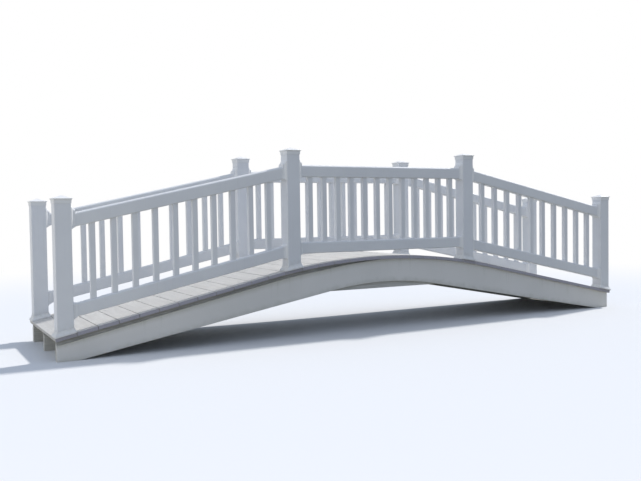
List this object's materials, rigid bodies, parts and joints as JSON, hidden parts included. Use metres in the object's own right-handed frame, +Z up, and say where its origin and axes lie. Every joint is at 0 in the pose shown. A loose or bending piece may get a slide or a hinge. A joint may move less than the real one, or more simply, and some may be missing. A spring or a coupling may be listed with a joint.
{
  "type": "arched garden footbridge",
  "caption": "Arched garden moon bridge with a curved plank deck on arched stringers, square white posts with pyramid caps, and railings with upright balusters.",
  "frame": {"origin": "on the ground at the middle of the bridge, under the crown of the arch", "axes": "+X along the bridge, +Y across it to the far railing, +Z up"},
  "size_m": [5.2084, 1.103, 1.4566],
  "materials": {
    "vinyl": "satin white extruded vinyl",
    "cap_vinyl": "satin white moulded vinyl",
    "fascia": "satin white board cladding over the timber",
    "decking": "weathered pale grey composite board with fine grain",
    "timber": "softwood, weathered to a pale silver grey"
  },
  "bodies": {
    "root": {"near_left_end_post": "vinyl", "near_left_inner_post": "vinyl", "near_right_inner_post": "vinyl", "near_right_end_post": "vinyl", "far_left_end_post": "vinyl", "far_left_inner_post": "vinyl", "far_right_inner_post": "vinyl", "far_right_end_post": "vinyl", "near_left_end_cap": "cap_vinyl", "near_left_inner_cap": "cap_vinyl", "near_right_inner_cap": "cap_vinyl", "near_right_end_cap": "cap_vinyl", "far_left_end_cap": "cap_vinyl", "far_left_inner_cap": "cap_vinyl", "far_right_inner_cap": "cap_vinyl", "far_right_end_cap": "cap_vinyl", "post_skirts": "cap_vinyl", "near_left_top_rail": "vinyl", "near_middle_top_rail": "vinyl", "near_right_top_rail": "vinyl", "far_left_top_rail": "vinyl", "far_middle_top_rail": "vinyl", "far_right_top_rail": "vinyl", "near_left_bottom_rail": "vinyl", "near_middle_bottom_rail": "vinyl", "near_right_bottom_rail": "vinyl", "far_left_bottom_rail": "vinyl", "far_middle_bottom_rail": "vinyl", "far_right_bottom_rail": "vinyl", "near_left_balusters": "vinyl", "near_middle_balusters": "vinyl", "near_right_balusters": "vinyl", "far_left_balusters": "vinyl", "far_middle_balusters": "vinyl", "far_right_balusters": "vinyl", "rail_collars": "cap_vinyl", "near_fascia": "fascia", "far_fascia": "fascia", "near_stringer": "timber", "centre_stringer": "timber", "far_stringer": "timber", "cross_blocks": "timber", "left_ramp_boards": "decking", "crown_boards": "decking", "right_ramp_boards": "decking"}
  },
  "joints": []
}
